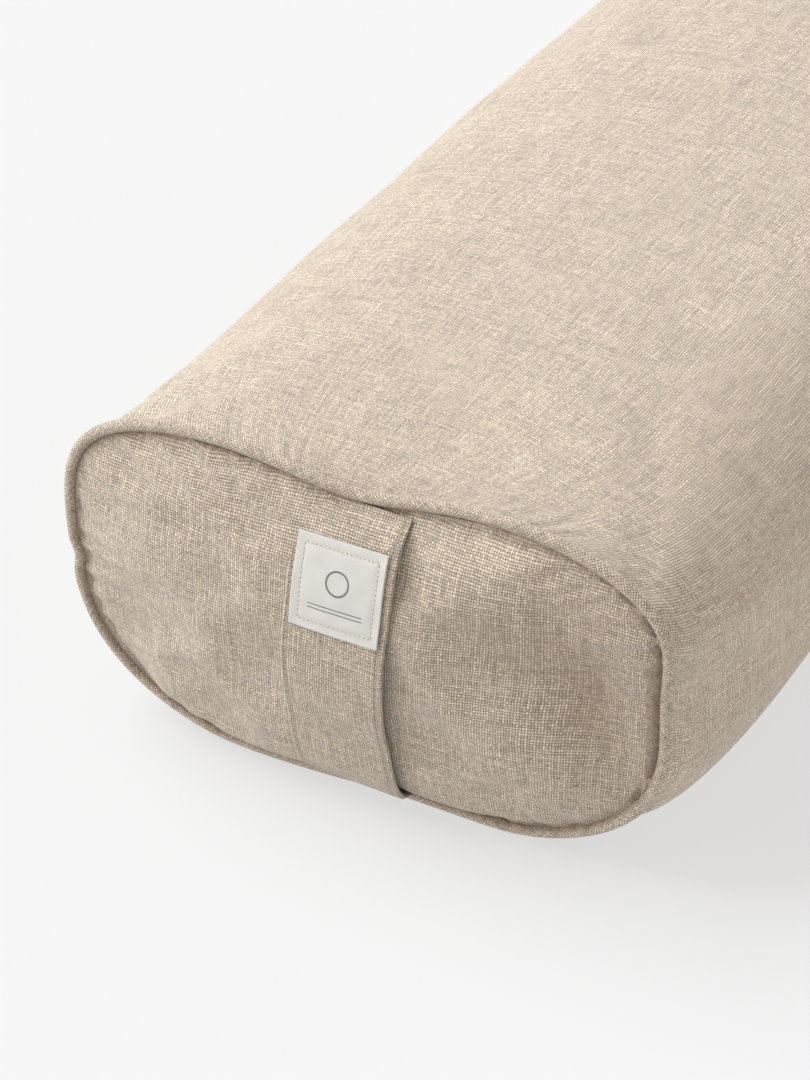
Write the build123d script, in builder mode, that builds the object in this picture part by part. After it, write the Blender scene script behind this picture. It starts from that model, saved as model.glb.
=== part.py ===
from build123d import *
from math import copysign, cos, hypot, pi, sin
import os

# Rectangular yoga bolster with a removable, piped linen cover.
# +Z up, long axis along Y, carry handle on the -Y end, zip on the -X side, origin on the floor under the middle.

# Cushion outline: a soft rectangle at the end seams that swells towards the middle of the length
SEAM_CORNER = 68.0
MIDDLE_CORNER = 78.0
SEAM_Y = 300.0
SEAM_HALF_WIDTH = 150.0
SEAM_HALF_HEIGHT = 78.0
SEAM_MIDDLE_Z = 88.0
SWELL_WIDTH = 7.0
SWELL_HEIGHT = 15.5
SWELL_LIFT = 5.5
SWELL_STATIONS = ((292.0, 0.24), (278.0, 0.56), (255.0, 0.86), (225.0, 1.0))
CROWN = 25.0
CROWN_STATIONS = ((0.0, 1.0), (0.2, 0.985), (0.45, 0.93), (0.7, 0.80), (0.88, 0.60), (0.97, 0.36), (1.0, 0.16))

# Cloth and seams
COVER_CLOTH = 1.2
INNER_CLOTH = 0.8
END_PANEL_Y = 300.7
PANEL_END_Y = 299.2
CLEARANCE = 0.3
PIPING_RADIUS = 3.5
PIPING_WALL = 0.9
PIPING_OFFSET = 3.7
ALLOWANCE_CLOTH = 1.0
ALLOWANCE_DEPTH = 11.0
ALLOWANCE_INSET = 1.45
WEB_HALF = 0.35

# Inner bag and filling
INNER_INSET = 4.0
INNER_END_Y = 286.0
INNER_CROWN = 36.5
SLIT_STITCHES = 24
SLIT_PITCH = 6.0
SLIT_START_Y = 50.0
SLIT_STITCH = (0.5, 0.6, 5.0)

# Carry handle, label and their stitching
STRAP_WIDTH = 54.0
STRAP_THICK = 2.6
STRAP_END_Y = 303.85
STRAP_RISE = 27.8
STRAP_HALF_SPAN = 79.0
STRAP_POWER = 2.2
STRAP_SAMPLES = 240
LABEL_SIZE = 47.0
LABEL_START = 20.0
LABEL_THICK = 0.5
LABEL_X = -1.0
STITCH_GAP = 0.08
STITCH_THICK = 0.4
EDGE_STITCH = (0.6, 3.0)
EDGE_STITCH_PITCH = 4.0
EDGE_STITCH_INSET = 1.7
LABEL_STITCH = (0.5, 1.9)
LABEL_STITCHES = 14
LABEL_STITCH_INSET = 4.0

# Zip, measured outwards from the cover's face on the -X side
ZIP_Z = SEAM_MIDDLE_Z + SWELL_LIFT
FACE_X = -(SEAM_HALF_WIDTH + SWELL_WIDTH)
SLOT_HALF_LENGTH = 205.0
SLOT_HALF = 6.0
TAPE_OUT = -1.6
TAPE_THICK = 0.6
TAPE_INNER = 0.75
TAPE_OUTER = 11.0
TAPE_HALF_LENGTH = 214.0
TEETH_HALF_LENGTH = 195.0
TEETH_OUT = 0.0
TEETH_EDGE = 2.6
TEETH_ROOT = 1.5
TOOTH_PITCH = 3.0
TOOTH_WIDTH = 1.8
STOP_LENGTH = 3.5
STOP_HALF = 3.2
STOP_OUT = 0.5
TOPSTITCH_Z = 8.5
TOPSTITCH_HALF_LENGTH = 212.0
TOPSTITCH_PITCH = 4.0
TOPSTITCH = (0.4, 3.0, 0.5)

# Slider and pull
SLIDER_Y = -186.0
SLIDER_HALF_LENGTH = 5.5
SLIDER_HALF_WIDTH = 4.4
SLIDER_WALL = 1.2
SLIDER_PLATE_IN = 0.4
SLIDER_PLATE_OUT = 1.5
SLIDER_LIP_IN = -1.1
NECK_HALF = 0.4
NECK_LENGTH = 2.5
INNER_PLATE_OUT = -2.6
INNER_PLATE_IN = -3.4
BAIL_HALF_WIDTH = 1.0
BAIL_HALF_LENGTH = 3.6
BAIL_WIRE = 1.0
BAIL_OUT = 4.9
PULL_AXIS_OUT = 2.7
PULL_BAR_RADIUS = 0.75
PULL_HALF_WIDTH = 3.2
PULL_HALF_THICK = 0.7
PULL_WINDOW_HALF = 1.7
PULL_WINDOW_END = 5.4
PULL_LENGTH = 27.0
PULL_HOLE_RADIUS = 1.6
PULL_HOLE_Y = 22.5


def soft_outline(y, half_width, half_height, corner, middle):
    """Sketch of a soft-cornered rectangle across the cushion at this y."""
    with BuildSketch(Plane.XZ.offset(-y)) as outline:
        with Locations((0, middle)):
            RectangleRounded(2 * half_width, 2 * half_height, corner)
    return outline.sketch


def lofted(outlines):
    """Solid through soft outlines, each a tuple of soft_outline values."""
    with BuildPart() as solid:
        for values in outlines:
            add(soft_outline(*values))
        loft(ruled=True)
    return solid.part


def swollen_tube(inset, end_y):
    """The long cushion shape, flat where it rests on the floor."""
    half = []
    inner_stations = [station for station in SWELL_STATIONS if station[0] < end_y]
    for y, swell in [(end_y, 0.0)] + inner_stations:
        half.append((
            y,
            SEAM_HALF_WIDTH + SWELL_WIDTH * swell - inset,
            SEAM_HALF_HEIGHT + SWELL_HEIGHT * swell - inset,
            SEAM_CORNER + (MIDDLE_CORNER - SEAM_CORNER) * swell - inset,
            SEAM_MIDDLE_Z + SWELL_LIFT * swell,
        ))
    front = [(-y, *rest) for y, *rest in half]
    return lofted(front + half[::-1])


def crowned_cap(side, base_y, inset, crown):
    """A domed end: side is -1 for the front end and +1 for the rear."""
    outlines = []
    for rise, scale in CROWN_STATIONS:
        outlines.append((
            side * (base_y + crown * rise),
            (SEAM_HALF_WIDTH - inset) * scale,
            (SEAM_HALF_HEIGHT - inset) * scale,
            (SEAM_CORNER - inset) * scale,
            SEAM_MIDDLE_Z,
        ))
    return lofted(outlines)


def piping_plane(side):
    """Path of the piping round one end, and the plane across its start with x pointing into the cushion."""
    half_width = SEAM_HALF_WIDTH + PIPING_OFFSET
    half_height = SEAM_HALF_HEIGHT + PIPING_OFFSET
    corner = SEAM_CORNER + PIPING_OFFSET
    path = soft_outline(side * SEAM_Y, half_width, half_height, corner, SEAM_MIDDLE_Z).wires()[0]
    return path, Plane(path @ 0, x_dir=(0, -side, 0), z_dir=path % 0)


def box_between(low, high):
    """A box from its low corner to its high corner."""
    size = [b - a for a, b in zip(low, high)]
    middle = [(a + b) / 2 for a, b in zip(low, high)]
    with BuildPart() as block:
        with Locations(tuple(middle)):
            Box(*size)
    return block.part


def outward(distance):
    """X of a point that stands this far out of the cover's zip side."""
    return FACE_X - distance


def strap_samples():
    """Inner face of the handle in the YZ plane: (length from the top end, y, z, normal y, normal z)."""
    path = []
    for step in range(STRAP_SAMPLES + 1):
        angle = pi / 2 - pi * step / STRAP_SAMPLES
        up = sin(angle)
        z = SEAM_MIDDLE_Z + STRAP_HALF_SPAN * copysign(abs(up) ** (2 / STRAP_POWER), up)
        path.append((-STRAP_END_Y - STRAP_RISE * cos(angle), z))
    samples = []
    length = 0.0
    for step, (y, z) in enumerate(path):
        before = path[max(step - 1, 0)]
        after = path[min(step + 1, STRAP_SAMPLES)]
        along_y, along_z = after[0] - before[0], after[1] - before[1]
        scale = hypot(along_y, along_z)
        if step:
            length += hypot(y - before[0], z - before[1])
        samples.append((length, y, z, along_z / scale, -along_y / scale))
    return samples


STRAP = strap_samples()
STRAP_LENGTH = STRAP[-1][0]


def strap_point(length, height):
    """Point at a length along the handle and a height above its inner face, as (y, z)."""
    for first, second in zip(STRAP, STRAP[1:]):
        if second[0] >= length:
            break
    share = (length - first[0]) / (second[0] - first[0])
    y, z, normal_y, normal_z = (a + (b - a) * share for a, b in zip(first[1:], second[1:]))
    return y + normal_y * height, z + normal_z * height


def strap_strip(start, end, low, high, x_middle, width, points):
    """A piece of cloth that follows the handle between two lengths and two heights."""
    lengths = [start + (end - start) * step / (points - 1) for step in range(points)]
    under = [strap_point(length, low) for length in lengths]
    over = [strap_point(length, high) for length in lengths]
    with BuildPart() as strip:
        with BuildSketch(Plane.YZ.offset(x_middle)):
            with BuildLine():
                Spline(under)
                Line(under[-1], over[-1])
                Spline(over[::-1])
                Line(over[0], under[0])
            make_face()
        extrude(amount=width / 2, both=True)
    return strip.part


def strap_stitch(length, x, size_x, size_along):
    """One stitch lying on the handle, centred at a length along it."""
    base = STRAP_THICK + STITCH_GAP
    if abs(x - LABEL_X) < LABEL_SIZE / 2 and LABEL_START < length < LABEL_START + LABEL_SIZE:
        base += LABEL_THICK + STITCH_GAP
    near = strap_point(length - size_along / 2, base + STITCH_GAP)
    far = strap_point(length + size_along / 2, base + STITCH_GAP)
    near_top = strap_point(length - size_along / 2, base + STITCH_THICK)
    far_top = strap_point(length + size_along / 2, base + STITCH_THICK)
    with BuildPart() as stitch:
        with BuildSketch(Plane.YZ.offset(x)):
            with BuildLine():
                Polyline(near, far, far_top, near_top, close=True)
            make_face()
        extrude(amount=size_x / 2, both=True)
    return stitch.part


def comb_points(direction):
    """Outline of one row of teeth in the YZ plane, with direction +1 for the upper row."""
    count = int(2 * TEETH_HALF_LENGTH / TOOTH_PITCH)
    first = -count * TOOTH_PITCH / 2
    root, tip, edge = (ZIP_Z + direction * value for value in (TEETH_ROOT, TAPE_INNER, TEETH_EDGE))
    points = [(first, edge), (first, root)]
    for tooth in range(count):
        start = first + tooth * TOOTH_PITCH + (TOOTH_PITCH - TOOTH_WIDTH) / 2
        points += [(start, root), (start, tip), (start + TOOTH_WIDTH, tip), (start + TOOTH_WIDTH, root)]
    points += [(-first, root), (-first, edge)]
    return points


# Whole soft shapes that the thin cloth pieces are cut from
cover_outside = swollen_tube(0.0, PANEL_END_Y)
cover_inside = swollen_tube(COVER_CLOTH, PANEL_END_Y + 1.0)
inner_outside = swollen_tube(INNER_INSET, INNER_END_Y)
inner_inside = swollen_tube(INNER_INSET + INNER_CLOTH, INNER_END_Y + 1.0)
zip_slot = box_between(
    (outward(5.0), -SLOT_HALF_LENGTH, ZIP_Z - SLOT_HALF),
    (outward(-5.0), SLOT_HALF_LENGTH, ZIP_Z + SLOT_HALF),
)
pieces = {}

with BuildPart() as body_panel:
    add(cover_outside)
    add(cover_inside, mode=Mode.SUBTRACT)
    add(zip_slot, mode=Mode.SUBTRACT)
pieces["body_panel"] = body_panel.part

for end_name, side in (("front", -1), ("rear", 1)):
    with BuildPart() as end_panel:
        add(crowned_cap(side, END_PANEL_Y, 0.0, CROWN))
        add(crowned_cap(side, END_PANEL_Y, COVER_CLOTH, CROWN - COVER_CLOTH), mode=Mode.SUBTRACT)
    pieces[f"{end_name}_end_panel"] = end_panel.part

    piping_path, piping_start = piping_plane(side)
    web_inner = PIPING_OFFSET + ALLOWANCE_INSET + ALLOWANCE_CLOTH
    allowance_middle = web_inner - ALLOWANCE_CLOTH / 2
    with BuildPart() as piping_casing:
        with BuildSketch(piping_start):
            Circle(PIPING_RADIUS)
            with Locations((0, -side * web_inner / 2)):
                Rectangle(2 * WEB_HALF, web_inner)
            with Locations((ALLOWANCE_DEPTH / 2, -side * allowance_middle)):
                Rectangle(ALLOWANCE_DEPTH, ALLOWANCE_CLOTH)
            Circle(PIPING_RADIUS - PIPING_WALL, mode=Mode.SUBTRACT)
        sweep(path=piping_path)
    pieces[f"{end_name}_piping_casing"] = piping_casing.part

    with BuildPart() as piping_cord:
        with BuildSketch(piping_start):
            Circle(PIPING_RADIUS - PIPING_WALL - CLEARANCE)
        sweep(path=piping_path)
    pieces[f"{end_name}_piping_cord"] = piping_cord.part

    with BuildPart() as inner_end:
        base_y = INNER_END_Y + CLEARANCE
        add(crowned_cap(side, base_y, INNER_INSET, INNER_CROWN))
        add(
            crowned_cap(side, base_y, INNER_INSET + INNER_CLOTH, INNER_CROWN - INNER_CLOTH),
            mode=Mode.SUBTRACT,
        )
    pieces[f"inner_case_{end_name}_end"] = inner_end.part

with BuildPart() as inner_case_body:
    add(inner_outside)
    add(inner_inside, mode=Mode.SUBTRACT)
pieces["inner_case_body"] = inner_case_body.part

with BuildPart() as filling:
    fill_inset = INNER_INSET + INNER_CLOTH + CLEARANCE
    add(swollen_tube(fill_inset, INNER_END_Y))
    for side in (-1, 1):
        add(crowned_cap(side, INNER_END_Y, fill_inset, INNER_CROWN - INNER_CLOTH - CLEARANCE))
pieces["filling"] = filling.part

with BuildPart() as inner_case_closing_stitches:
    slit_x = SEAM_HALF_WIDTH + SWELL_WIDTH - INNER_INSET + SLIT_STITCH[0]
    middles = [(slit_x, SLIT_START_Y + SLIT_PITCH * step, ZIP_Z) for step in range(SLIT_STITCHES)]
    with Locations(*middles):
        Box(*SLIT_STITCH)
pieces["inner_case_closing_stitches"] = inner_case_closing_stitches.part

pieces["carry_handle"] = strap_strip(0.0, STRAP_LENGTH, 0.0, STRAP_THICK, 0.0, STRAP_WIDTH, 41)
label_low = STRAP_THICK + STITCH_GAP
pieces["fabric_label"] = strap_strip(
    LABEL_START, LABEL_START + LABEL_SIZE, label_low, label_low + LABEL_THICK, LABEL_X, LABEL_SIZE, 9
)

with BuildPart() as handle_edge_stitching:
    stitch_count = int((STRAP_LENGTH - EDGE_STITCH_PITCH) / EDGE_STITCH_PITCH)
    first_length = (STRAP_LENGTH - (stitch_count - 1) * EDGE_STITCH_PITCH) / 2
    for side in (-1, 1):
        edge_x = side * (STRAP_WIDTH / 2 - EDGE_STITCH_INSET)
        for step in range(stitch_count):
            add(strap_stitch(first_length + step * EDGE_STITCH_PITCH, edge_x, *EDGE_STITCH))
pieces["handle_edge_stitching"] = handle_edge_stitching.part

with BuildPart() as label_stitching:
    stitch_side = LABEL_SIZE - 2 * LABEL_STITCH_INSET
    pitch = stitch_side / LABEL_STITCHES
    label_middle = LABEL_START + LABEL_SIZE / 2
    for side in (-1, 1):
        for step in range(LABEL_STITCHES):
            offset = (step + 0.5) * pitch - stitch_side / 2
            add(strap_stitch(label_middle + offset, LABEL_X + side * stitch_side / 2, *LABEL_STITCH))
            add(strap_stitch(label_middle + side * stitch_side / 2, LABEL_X + offset, *LABEL_STITCH[::-1]))
pieces["label_stitching"] = label_stitching.part

for row_name, direction in (("upper", 1), ("lower", -1)):
    edges = sorted(ZIP_Z + direction * value for value in (TAPE_INNER, TAPE_OUTER))
    pieces[f"zip_tape_{row_name}"] = box_between(
        (outward(TAPE_OUT), -TAPE_HALF_LENGTH, edges[0]),
        (outward(TAPE_OUT - TAPE_THICK), TAPE_HALF_LENGTH, edges[1]),
    )
    with BuildPart() as zip_teeth:
        with BuildSketch(Plane.YZ.offset(outward(TEETH_OUT))):
            with BuildLine():
                Polyline(*comb_points(direction), close=True)
            make_face()
        extrude(amount=TEETH_OUT - TAPE_OUT - STITCH_GAP)
    pieces[f"zip_teeth_{row_name}"] = zip_teeth.part

for stop_name, side in (("top", -1), ("bottom", 1)):
    ends = sorted(side * (TEETH_HALF_LENGTH + value) for value in (1.0, 1.0 + STOP_LENGTH))
    with BuildPart() as zip_stop:
        add(box_between(
            (outward(STOP_OUT), ends[0], ZIP_Z - STOP_HALF),
            (outward(TAPE_OUT + STITCH_GAP), ends[1], ZIP_Z + STOP_HALF),
        ))
        fillet(zip_stop.edges().filter_by(Axis.X), radius=0.8)
    pieces[f"zip_{stop_name}_stop"] = zip_stop.part

with BuildPart() as zip_topstitching:
    stitch_count = int(2 * TOPSTITCH_HALF_LENGTH / TOPSTITCH_PITCH)
    for direction in (-1, 1):
        with Locations((outward(TOPSTITCH[0] / 2 + STITCH_GAP), 0, ZIP_Z + direction * TOPSTITCH_Z)):
            with GridLocations(1, TOPSTITCH_PITCH, 1, stitch_count):
                Box(*TOPSTITCH)
pieces["zip_topstitching"] = zip_topstitching.part

with BuildPart() as zip_slider:
    low_y, high_y = SLIDER_Y - SLIDER_HALF_LENGTH, SLIDER_Y + SLIDER_HALF_LENGTH
    low_z, high_z = ZIP_Z - SLIDER_HALF_WIDTH, ZIP_Z + SLIDER_HALF_WIDTH
    add(box_between((outward(SLIDER_PLATE_OUT), low_y, low_z), (outward(SLIDER_PLATE_IN), high_y, high_z)))
    add(box_between((outward(INNER_PLATE_OUT), low_y, low_z), (outward(INNER_PLATE_IN), high_y, high_z)))
    fillet(zip_slider.edges().filter_by(Axis.X), radius=2.0)
    for direction in (-1, 1):
        lip = sorted(ZIP_Z + direction * (SLIDER_HALF_WIDTH - value) for value in (0.0, SLIDER_WALL))
        add(box_between(
            (outward(SLIDER_PLATE_IN), low_y + 2.0, lip[0]),
            (outward(SLIDER_LIP_IN), high_y - 2.0, lip[1]),
        ))
    add(box_between(
        (outward(SLIDER_PLATE_IN), low_y, ZIP_Z - NECK_HALF),
        (outward(INNER_PLATE_OUT), low_y + NECK_LENGTH, ZIP_Z + NECK_HALF),
    ))
    bail_low, bail_high = SLIDER_Y - BAIL_HALF_LENGTH, SLIDER_Y + BAIL_HALF_LENGTH
    with BuildSketch(Plane.XY.offset(ZIP_Z)):
        with BuildLine():
            Polyline(
                (outward(SLIDER_PLATE_OUT), bail_low),
                (outward(BAIL_OUT - 1.0), bail_low),
                (outward(BAIL_OUT), bail_low + 1.2),
                (outward(BAIL_OUT), bail_high - 1.2),
                (outward(BAIL_OUT - 1.0), bail_high),
                (outward(SLIDER_PLATE_OUT), bail_high),
                (outward(SLIDER_PLATE_OUT), bail_high - BAIL_WIRE),
                (outward(BAIL_OUT - BAIL_WIRE - 0.3), bail_high - BAIL_WIRE),
                (outward(BAIL_OUT - BAIL_WIRE), bail_high - BAIL_WIRE - 0.4),
                (outward(BAIL_OUT - BAIL_WIRE), bail_low + BAIL_WIRE + 0.4),
                (outward(BAIL_OUT - BAIL_WIRE - 0.3), bail_low + BAIL_WIRE),
                (outward(SLIDER_PLATE_OUT), bail_low + BAIL_WIRE),
                close=True,
            )
        make_face()
    extrude(amount=BAIL_HALF_WIDTH, both=True)
pieces["zip_slider"] = zip_slider.part

with BuildPart() as zip_pull:
    axis_x = outward(PULL_AXIS_OUT)
    with BuildSketch(Plane.YZ.offset(axis_x)):
        with BuildLine():
            low, high = ZIP_Z - PULL_HALF_WIDTH, ZIP_Z + PULL_HALF_WIDTH
            far_y = SLIDER_Y + PULL_LENGTH - PULL_HALF_WIDTH
            Polyline((SLIDER_Y, high), (SLIDER_Y, low), (far_y, low))
            ThreePointArc((far_y, low), (SLIDER_Y + PULL_LENGTH, ZIP_Z), (far_y, high))
            Line((far_y, high), (SLIDER_Y, high))
        make_face()
        with Locations((SLIDER_Y + PULL_WINDOW_END / 2, ZIP_Z)):
            Rectangle(PULL_WINDOW_END, 2 * PULL_WINDOW_HALF, mode=Mode.SUBTRACT)
        with Locations((SLIDER_Y + PULL_HOLE_Y, ZIP_Z)):
            Circle(PULL_HOLE_RADIUS, mode=Mode.SUBTRACT)
    extrude(amount=PULL_HALF_THICK, both=True)
    with Locations((axis_x, SLIDER_Y, ZIP_Z)):
        Cylinder(PULL_BAR_RADIUS, 2 * PULL_HALF_WIDTH)
pieces["zip_pull"] = zip_pull.part

os.makedirs("parts", exist_ok=True)
for name, piece in pieces.items():
    piece.label = name
    export_step(piece, f"parts/{name}.step")
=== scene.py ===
from math import cos, pi, radians, sin

import bmesh
import bpy
import numpy as np
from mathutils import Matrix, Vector


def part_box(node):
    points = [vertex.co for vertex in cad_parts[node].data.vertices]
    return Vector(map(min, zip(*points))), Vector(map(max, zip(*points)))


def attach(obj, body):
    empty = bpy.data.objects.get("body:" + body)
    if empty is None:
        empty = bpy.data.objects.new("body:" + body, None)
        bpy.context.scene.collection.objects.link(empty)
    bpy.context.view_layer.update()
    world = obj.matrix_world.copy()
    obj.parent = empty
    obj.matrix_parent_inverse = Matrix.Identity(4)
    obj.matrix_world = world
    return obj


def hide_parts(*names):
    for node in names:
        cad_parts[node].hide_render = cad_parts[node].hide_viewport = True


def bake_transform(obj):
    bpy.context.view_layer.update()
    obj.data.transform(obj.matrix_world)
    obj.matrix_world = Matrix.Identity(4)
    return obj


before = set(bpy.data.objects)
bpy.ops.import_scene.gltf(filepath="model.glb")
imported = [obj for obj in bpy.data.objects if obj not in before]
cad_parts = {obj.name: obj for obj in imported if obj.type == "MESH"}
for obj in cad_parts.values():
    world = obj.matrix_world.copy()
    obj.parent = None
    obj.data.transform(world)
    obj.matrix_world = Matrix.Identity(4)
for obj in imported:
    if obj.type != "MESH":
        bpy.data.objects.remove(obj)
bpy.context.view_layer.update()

# ---------------------------------------------------------------- shape of the cushion, in metres
# Long axis along Y, front end at -Y, floor at z = 0. Outlines are drawn by an angle t: 0 at -X, pi/2 on top.
SEAM_Y = 0.300  # the end seams lie at plus and minus this
SEAM_HALF_WIDTH = 0.1507
SEAM_HALF_HEIGHT = 0.0865
SEAM_MIDDLE = 0.0940  # height of the seam's centre
SEAM_TOP_DIP = 0.0091  # sag of the seam's top between its corners
SEAM_FLOOR = 0.0034  # the seam never goes lower than this
SEAM_SOFT = 0.0030  # how softly it meets that height
SEAM_JOIN = 0.016  # share by which the seam is pinched where the piping is joined
SEAM_CALM_REAR = 0.45  # unevenness of the rear seam against the front seam
BODY_HALF_WIDTH = 0.1578
BODY_HEIGHT = 0.1789
BODY_PRESS = 0.007  # depth that the floor takes off the round section
BODY_SOFT = 0.004  # rounding of the edge of that flat place
PIPING_RADIUS = 0.0030
PIPING_WALL = 0.0009
CORD_RADIUS = PIPING_RADIUS - 0.0011
ALLOWANCE_END = 0.0120  # the piping's seam allowance reaches this far inwards
ALLOWANCE_HALF = 0.0005
STITCH_LINE = 0.0031  # the panels are sewn this far inside the piping's centre line
GROOVE_WIDTH = 0.0058
SWELL_LENGTH = 0.0294  # distance over which the long panel swells out from a seam
SWELL_SLOW = 0.040  # added to it at the upper -X corner, where the cover is slacker
CROWN = 0.0250  # how far an end stands out from its seam
SEAM_ROUND = 0.83  # length once round an end seam
CROWN_SCALE = 0.11  # metres for one unit of an end's radius, for widths near its rim
CLOTH = 0.0009
INNER_CLOTH = 0.0007

ZIP_Z = (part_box("zip_tape_upper")[0][2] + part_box("zip_tape_lower")[1][2]) / 2
ZIP_HALF_GAP = 0.0052
ZIP_SHUT_GAP = 0.0003
ZIP_OPEN = 0.196  # the folded edges are fully apart up to this y
ZIP_CLOSE = 0.212  # and meet from this y on
FOLD_RADIUS = 0.0011
FOLD_STEP = 0.002

BLEND_START = 0.2  # the panel's front half turns into its rear half from here
BLEND_LENGTH = 0.2  # over this length
ROW_STEP, ROW_GROWTH, ROW_REACH = 0.0009, 0.0036, 0.022
BODY_COLUMNS = 300
FOLD_COLUMNS = 6
END_GRID = 150
DENSE = 4096  # samples of the section for measuring along it

SETTLE_FRAMES = 14
SETTLE_CAP = 0.004  # largest wrinkle that is kept


def seam_xz(t, side):
    """Piping centre line of one end: side is -1 for the front, which is the more uneven, and 1 for the rear."""
    calm = 1.0 if side < 0 else SEAM_CALM_REAR
    x = -odd_waves(t, (1.0, 0.027, -0.057), np.cos)
    z = odd_waves(t, (1.0, 0.076, -0.046), np.sin)
    uneven = 1 + calm * (0.0035 * np.sin(5 * t + 0.6) + 0.0020 * np.sin(9 * t + 2.0))
    if side < 0:
        uneven = uneven - SEAM_JOIN * join_dip(t)
    z = SEAM_MIDDLE + (SEAM_HALF_HEIGHT * z + calm * SEAM_TOP_DIP * np.cos(2 * t)) * uneven - SEAM_FLOOR
    return SEAM_HALF_WIDTH * x * uneven, SEAM_FLOOR + above_zero(z, SEAM_SOFT)


def above_zero(z, soft):
    """z where it is well above 0, and 0 where it is well below, with a soft bend between them."""
    return 0.5 * (z + np.sqrt(z * z + soft * soft))


def join_dip(t):
    """A small pinch where the ends of the piping are joined, low on the -X side."""
    return np.exp(-(np.sin((t + 0.18) / 2) / 0.035) ** 2)


def odd_waves(t, weights, wave):
    """Odd harmonics of a sine or cosine, scaled to a largest value of 1."""
    def total(angle):
        return sum(w * wave((2 * n + 1) * angle) for n, w in enumerate(weights))

    return total(t) / np.abs(total(np.linspace(0, 2 * pi, 721))).max()


def body_xz(t):
    """Cross-section of the swollen middle, pressed flat on the floor."""
    x = -BODY_HALF_WIDTH * odd_waves(t, (1.0, -0.107, -0.012), np.cos)
    half = (BODY_HEIGHT + BODY_PRESS) / 2
    z = half - BODY_PRESS + half * odd_waves(t, (1.0, -0.006, 0.0), np.sin)
    return x, np.maximum(above_zero(z, BODY_SOFT) - BODY_SOFT / 2, 0.0)


def unit(vectors):
    """Vectors scaled to a length of 1."""
    return vectors / np.linalg.norm(vectors, axis=-1)[..., None]


def length_along(points):
    """Distance of each 2-D point from the first, along the line through them."""
    steps = np.hypot(*(np.diff(points, axis=0)).T)
    return np.concatenate([[0.0], np.cumsum(steps)])


dense_t = np.linspace(0, 2 * pi, DENSE + 1)
dense_u = length_along(np.stack(body_xz(dense_t), -1))
BODY_ROUND = dense_u[-1]


def eased(share):
    """0 to 1 with a slow start and end."""
    share = np.clip(share, 0, 1)
    return share * share * (3 - 2 * share)


def smooth_noise(points, seed, size, count=14):
    """Smooth, repeatable unevenness at 3-D points, about -1 to 1: a fixed set of plane waves."""
    rng = np.random.RandomState(seed)
    direction = unit(rng.normal(size=(count, 3)))
    length = size * rng.uniform(0.6, 1.7, count)
    phase = rng.uniform(0, 2 * pi, count)
    return np.cos(points @ (direction * (2 * pi / length)[:, None]).T + phase).sum(-1) / count ** 0.5


def puckers(u, pitch, seed):
    """Uneven little gathers along a seam, u in metres round it."""
    drift = (0.9 * np.sin(u * 31.0 + seed) + 0.7 * np.sin(u * 67.0 + 2.0 * seed)
             + 0.5 * np.sin(u * 113.0 + seed))
    strength = 0.55 + 0.45 * np.sin(u * 23.0 + 3.0 * seed) * np.sin(u * 51.0 + seed)
    return np.sin(2 * pi * u / pitch + 2.2 * drift) * strength


def seam_wobble(t, side):
    """How far the seam strays along Y from its flat plane."""
    out = 0.0016 * np.sin(t) + 0.0003 * np.cos(2 * t) + 0.0065 * np.cos(t) + 0.0008 * np.sin(5 * t + 1.0)
    return side * (SEAM_Y + out * (1.0 if side < 0 else 0.7))


def seam_frame(t, side):
    """Piping centre line as 3-D points with outward radial normals."""
    x, z = seam_xz(t, side)
    along = unit(np.stack(seam_xz(t + 1e-3, side), -1) - np.stack(seam_xz(t - 1e-3, side), -1))
    centre = np.stack([x, seam_wobble(t, side), z], -1)
    normal = np.stack([-along[..., 1], 0 * x, along[..., 0]], -1)
    return centre, normal


def body_point(t, s, side):
    """Cover surface at outline angle t and distance s from the end seam on one side."""
    centre, normal = seam_frame(t, side)
    x, z = body_xz(t)
    slow = SWELL_LENGTH + SWELL_SLOW * np.exp(-((np.sin((t - 0.7) / 2) / 0.3) ** 2))
    swell = 1.0 - np.exp(-((s / slow) ** 0.92))
    groove = STITCH_LINE * np.exp(-((s / GROOVE_WIDTH) ** 1.5))
    target = np.stack([x, centre[..., 1], z], -1)
    point = centre + (target - centre) * swell[..., None] - normal * groove[..., None]
    straight = side * np.interp(s, [0.0, 0.12], [0.0, 1.0])
    point[..., 1] = centre[..., 1] * (1 - np.abs(straight)) + side * SEAM_Y * np.abs(straight)
    point[..., 1] -= side * (s + 0.0006)
    return point, normal


def grid_faces(rows, columns, wrap=False):
    """Quads of a grid whose vertex (i, j) is number i * columns + j."""
    i, j = np.meshgrid(np.arange(rows - 1), np.arange(columns if wrap else columns - 1), indexing="ij")
    nxt = (j + 1) % columns
    quads = np.stack([i * columns + j, i * columns + nxt, (i + 1) * columns + nxt, (i + 1) * columns + j], -1)
    return quads.reshape(-1, 4)


def capped_faces(rows, columns):
    """Quads of a grid that closes round, with a polygon over each end."""
    faces = [tuple(f) for f in grid_faces(rows, columns, wrap=True)]
    return faces + [tuple(range(columns))[::-1], tuple((rows - 1) * columns + k for k in range(columns))]


def grid_uv(u, v, wrap_u=None):
    """Cloth coordinates for each corner of the same grid of quads."""
    if wrap_u is not None:
        u = np.concatenate([u, wrap_u[:, None]], 1)
        v = np.concatenate([v, v[:, :1]], 1)
    corners = [(slice(0, -1), slice(0, -1)), (slice(0, -1), slice(1, None)),
               (slice(1, None), slice(1, None)), (slice(1, None), slice(0, -1))]
    return np.stack([np.stack([u[c], v[c]], -1) for c in corners], 2).reshape(-1, 2)


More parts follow.
